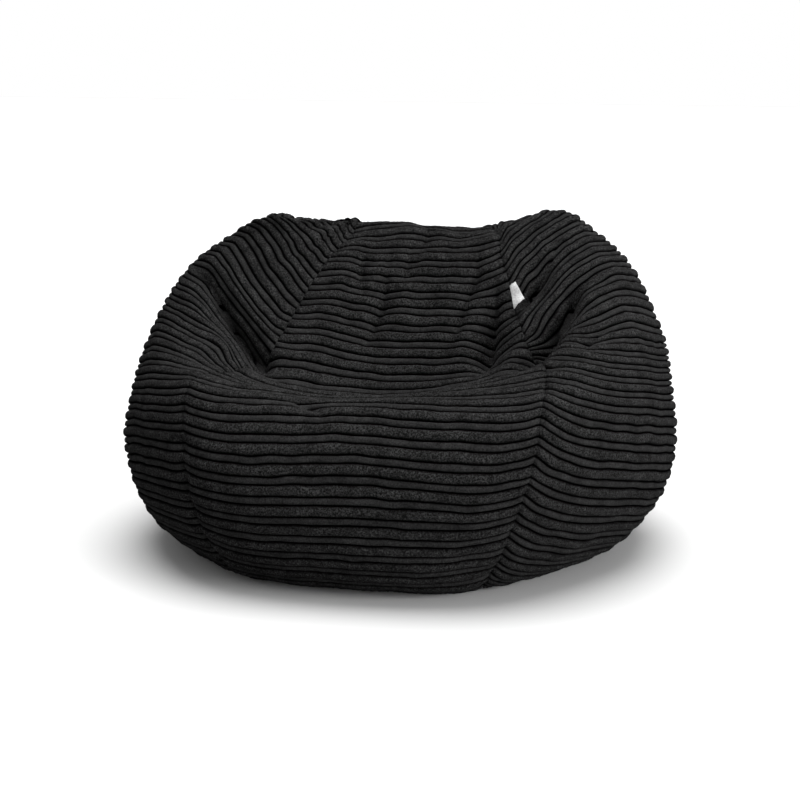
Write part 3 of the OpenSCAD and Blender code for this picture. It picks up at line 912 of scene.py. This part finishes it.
def zip_coil(node, material, slot):
    """One side of a coil zip: a monofilament wound into teeth about a straight line."""
    (x, y, z), (length, wide, high) = box_centre(node)
    turns = round(length / COIL_PITCH)
    t = np.arange(turns * COIL_STEPS + 1) / COIL_STEPS
    reach_y, reach_z = wide / 2 - COIL_WIRE, high / 2 - COIL_WIRE
    path = np.stack([x - length / 2 + COIL_WIRE + t * (length - 2 * COIL_WIRE) / turns,
                     y + reach_y * np.cos(t * 2 * math.pi),
                     z + reach_z * np.sin(t * 2 * math.pi)], 1)
    made = make_mesh(node + "_teeth", *tube(path, COIL_WIRE, 5))
    finish_piece(made, material, slot, "bag", node)


def zip_tape(node, material, slot):
    """Woven tape with fine cross ribs."""
    (x, y, z), (length, wide, high) = box_centre(node)
    top = high / 2 - WEAVE_GAP
    cols, rows = 397, 17
    u = np.linspace(-length / 2, length / 2, cols)[:, None] + np.zeros((1, rows))
    v = np.linspace(-wide / 2, wide / 2, rows)[None, :] + np.zeros((cols, 1))
    rib = 0.06 * np.cos(u * math.pi) * np.cos(v * 2.4)
    over = np.stack([x + u, y + v, z + top + rib], -1)
    under = np.stack([x + u, y + v, z - top + rib], -1)
    made = panel_mesh(node + "_weave", over, under, np.arange(rows), v, u[:, 0])
    finish_piece(made, material, slot, "bag", node)


def stitch_row(start, end):
    """A row of lockstitches from start to end, as points and faces. Each is a short arched thread."""
    a, b = np.array(start, float), np.array(end, float)
    count = max(1, int(np.linalg.norm(b - a) / STITCH_PITCH))
    along = (b - a) / count
    t = np.linspace(0, 1, 6)
    parts = []
    for k in range(count):
        path = a + along * (k + STITCH_START + STITCH_SHOWN * t)[:, None]
        path[:, 2] -= STITCH_ARCH * np.sin(t * math.pi)
        parts.append(tube(path, STITCH_THREAD, 5))
    return parts


def zip_stitching():
    """The two rows of stitches that hold each tape of the cover's zip, on the cloth's underside."""
    parts = []
    for node, side in (("cover_zip_tape_front", -1), ("cover_zip_tape_back", 1)):
        (x, y, _), (_, wide, _) = box_centre(node)
        for share in STITCH_ROWS:
            at = y + side * wide * share
            start = (x - STITCH_LENGTH / 2, at, STITCH_HIGH)
            end = (x + STITCH_LENGTH / 2, at, STITCH_HIGH)
            parts += stitch_row(start, end)
    made = make_mesh("cover_zip_stitches", *join(parts))
    finish_piece(made, THREAD, "corduroy", "bag")


def zip_garage():
    """The ribbed cloth strip that hides the parked slider."""
    (x, y, z), (length, wide, high) = box_centre("zip_garage")
    top = high / 2 - GARAGE_GAP
    cols, rows = 69, 33
    u = np.linspace(-1, 1, cols)[:, None] * length / 2 + np.zeros((1, rows))
    v = np.linspace(-1, 1, rows)[None, :] * wide / 2 + np.zeros((cols, 1))
    rib = 0.07 * np.sin(v * 3.1)
    over = np.stack([x + u, y + v, z + top + rib], -1)
    under = np.stack([x + u, y + v, z - top + rib], -1)
    made = panel_mesh("zip_garage_cloth", over, under, np.arange(rows), v / CORD, u[:, 0] / CORD)
    finish_piece(made, CORDUROY, "corduroy", "bag", "zip_garage")


def zips():
    """Both zips. Their metal parts keep the CAD meshes, with softened edges."""
    for side in ("front", "back"):
        zip_coil(f"cover_zip_coil_{side}", ZIP_COIL, "zip_coil")
        zip_coil(f"liner_zip_coil_{side}", LINER_ZIP_COIL, "liner_zip")
        zip_tape(f"cover_zip_tape_{side}", ZIP_TAPE, "zip_tape")
        zip_tape(f"liner_zip_tape_{side}", LINER_ZIP_TAPE, "liner_zip")
    for node in ("cover_zip_slider", "cover_zip_stops", "liner_zip_slider", "liner_zip_stops"):
        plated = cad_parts[node]
        plated.data.materials.clear()
        plated.data.materials.append(ZIP_METAL)
        bevel = plated.modifiers.new("soft edges", "BEVEL")
        bevel.width = METAL_BEVEL * MM
        bevel.segments = 2
    zip_garage()


# ---------------------------------------------------------------- The liner and the beads
def inset(columns, steps, depth, base_depth):
    """The surface moved in by depth, or by base_depth where the sack rests on the floor."""
    crush = ease(RUN_MM[columns][:, steps] / HEM_CRUSH_REACH)[..., None]
    moved = base_depth + (depth - base_depth) * crush
    inner = INSIDE[columns][:, steps] - PLAIN_NORMALS[columns][:, steps] * moved
    settled = SETTLE * ease((steps / RUN_STEPS - SETTLE_FROM) / (1 - SETTLE_FROM))
    inner += (np.array(SETTLE_TO) - inner) * settled[None, :, None]
    inner[..., 2] = np.maximum(inner[..., 2], base_depth)
    return inner


def liner_gores():
    """The liner's five panels, with a fifth of the cover's columns and fewer steps."""
    steps = np.linspace(0, RUN_STEPS, 121).round().astype(int)
    for gore, middle in GORES.items():
        columns = gore_columns(middle)[::5]
        outer = inset(columns, steps, LINER_INSET, LINER_BASE)
        inner = inset(columns, steps, LINER_INSET + LINER_THICK, LINER_BASE + LINER_THICK)
        count = np.zeros(outer.shape[:2]) + np.linspace(0, 30, len(steps))[None, :]
        name = f"liner_{gore}_gore"
        made = panel_mesh(name + "_cloth", outer, inner, np.arange(len(steps)), count, columns / 5)
        finish_piece(made, LINER_CLOTH, "liner_cloth", "bag", name)


def liner_disc(name, x, y, z, node):
    """A flat or domed piece of liner cloth from its grid of points."""
    outer = np.stack([x, y, z], -1)
    inner = np.stack([x, y, z + LINER_THICK], -1)
    made = panel_mesh(name, outer, inner, np.arange(y.shape[1]), y / CORD, np.linspace(0, 1, len(x)))
    finish_piece(made, LINER_CLOTH, "liner_cloth", "bag", node)


def liner_ends():
    """The liner's two base pieces and its cap."""
    radius = BASE_R - LINER_EASE
    for node, side in (("liner_base_front", -1), ("liner_base_back", 1)):
        low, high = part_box(node)
        start, end = (-radius, high.y / MM) if side < 0 else (low.y / MM, radius)
        x, y = disc_grid(radius, start, end, 61, 81)
        ripple = LINER_RIPPLE * (1 + np.sin(x / 11) * np.cos(y / 9))
        liner_disc(node + "_cloth", -x, y, low.z / MM + ripple, node)
    tilt = math.tan(math.radians(CAP_TILT))
    radius = CAP_R * (1 - SETTLE) - LINER_INSET / 2
    x, y = disc_grid(radius, -radius, radius, 31, 31)
    dome = CAP_DOME * ease((radius - np.hypot(x, y)) / radius)
    sunk = LINER_INSET + LINER_THICK + SEAM_PINCH + CAP_SETTLE
    z = CAP_CENTRE[2] - y * tilt + dome - sunk
    liner_disc("liner_top_cap_cloth", -(x + CAP_CENTRE[0]), y + CAP_CENTRE[1], z, "liner_top_cap")


def bead_filling():
    """The beads as one lumpy mass that fills the liner."""
    columns = np.arange(0, COLUMNS, 2)
    steps = np.linspace(0, RUN_STEPS, 191).round().astype(int)
    skin = inset(columns, steps, FILL_INSET, FILL_BASE)
    rng = np.random.default_rng(8)
    lumps = rng.uniform(0, BEAD_LUMP, skin.shape[:2])[..., None]
    skin = skin - PLAIN_NORMALS[columns][:, steps] * lumps
    skin[..., 2] = np.maximum(skin[..., 2], FILL_BASE)
    cols, rows = skin.shape[:2]
    verts = skin.transpose(1, 0, 2).reshape(-1, 3)
    faces = []
    for i in range(rows - 1):
        for j in range(cols):
            k = (j + 1) % cols
            faces.append([i * cols + j, i * cols + k, (i + 1) * cols + k, (i + 1) * cols + j])
    ends = np.array([(0, 0, FILL_BASE), skin[:, -1].mean(0)])
    for j in range(cols):
        k = (j + 1) % cols
        faces.append([rows * cols, k, j])
        faces.append([rows * cols + 1, (rows - 1) * cols + j, (rows - 1) * cols + k])
    made = make_mesh("bead_filling_beads", np.vstack([verts, ends]), faces)
    finish_piece(made, BEADS, "beads", "bag", "bead_filling")


def whole_bag():
    """Every piece of the bean bag chair."""
    cover_gores()
    cover_cap()
    base_half("cover_base_front", -1)
    base_half("cover_base_back", 1)
    seam_label()
    zips()
    zip_stitching()
    liner_gores()
    liner_ends()
    bead_filling()


# ---------------------------------------------------------------- Stage
CAMERA_TURN = 10
CAMERA_HEIGHT = 12
CAMERA_FAR = 3.2
CAMERA_AIM = (0, -0.015, 0.25)
CAMERA_LENS = 91.8
CAMERA_SHIFT = -0.024
FLOOR_HALF = 9000
FLOOR_GREY = 0.31


def make_camera():
    """The camera, in metres and degrees, looking at the sack from the front, a little above it."""
    turn, up = math.radians(CAMERA_TURN), math.radians(CAMERA_HEIGHT)
    data = bpy.data.cameras.new("camera")
    data.lens = CAMERA_LENS
    data.sensor_width = 36
    data.shift_y = CAMERA_SHIFT
    camera = bpy.data.objects.new("camera", data)
    away = (math.sin(turn) * math.cos(up), -math.cos(turn) * math.cos(up), math.sin(up))
    camera.location = [aim + CAMERA_FAR * a for aim, a in zip(CAMERA_AIM, away)]
    camera.rotation_euler = (math.radians(90) - up, 0, turn)
    bpy.context.scene.collection.objects.link(camera)
    bpy.context.scene.camera = camera


def soft_sun(name, turn, height, light, spread):
    """A broad even light from this turn and height above the floor, both in degrees, and this wide. light is
    how much it adds to the studio's own brightness of 1 on a face turned to it."""
    data = bpy.data.lights.new(name, "SUN")
    data.energy = light * math.pi
    data.angle = math.radians(spread)
    sun = bpy.data.objects.new(name, data)
    sun.rotation_euler = (math.radians(90 - height), 0, math.radians(turn))
    bpy.context.scene.collection.objects.link(sun)


def make_stage():
    """A pale floor in a white studio, lit from above and softly from the right."""
    world = bpy.data.worlds.new("studio")
    world.use_nodes = True
    background = world.node_tree.nodes["Background"]
    background.inputs["Color"].default_value = (1, 1, 1, 1)
    background.inputs["Strength"].default_value = 1.0
    bpy.context.scene.world = world
    bpy.context.scene.view_settings.view_transform = "Standard"
    paper = Shader("paper", 0.9)
    paper.set(paper.main, Base_Color=(*grey(FLOOR_GREY), 1))
    corners = [(x * FLOOR_HALF, y * FLOOR_HALF, 0) for x, y in ((-1, -1), (1, -1), (1, 1), (-1, 1))]
    floor = make_mesh("floor", corners, [[0, 1, 2, 3]])
    floor.data.materials.append(paper.material)
    soft_sun("overhead", 176, 80, 2.7, 58)
    soft_sun("side", 70, 10, 2.6, 36)


make_camera()
make_stage()
whole_bag()
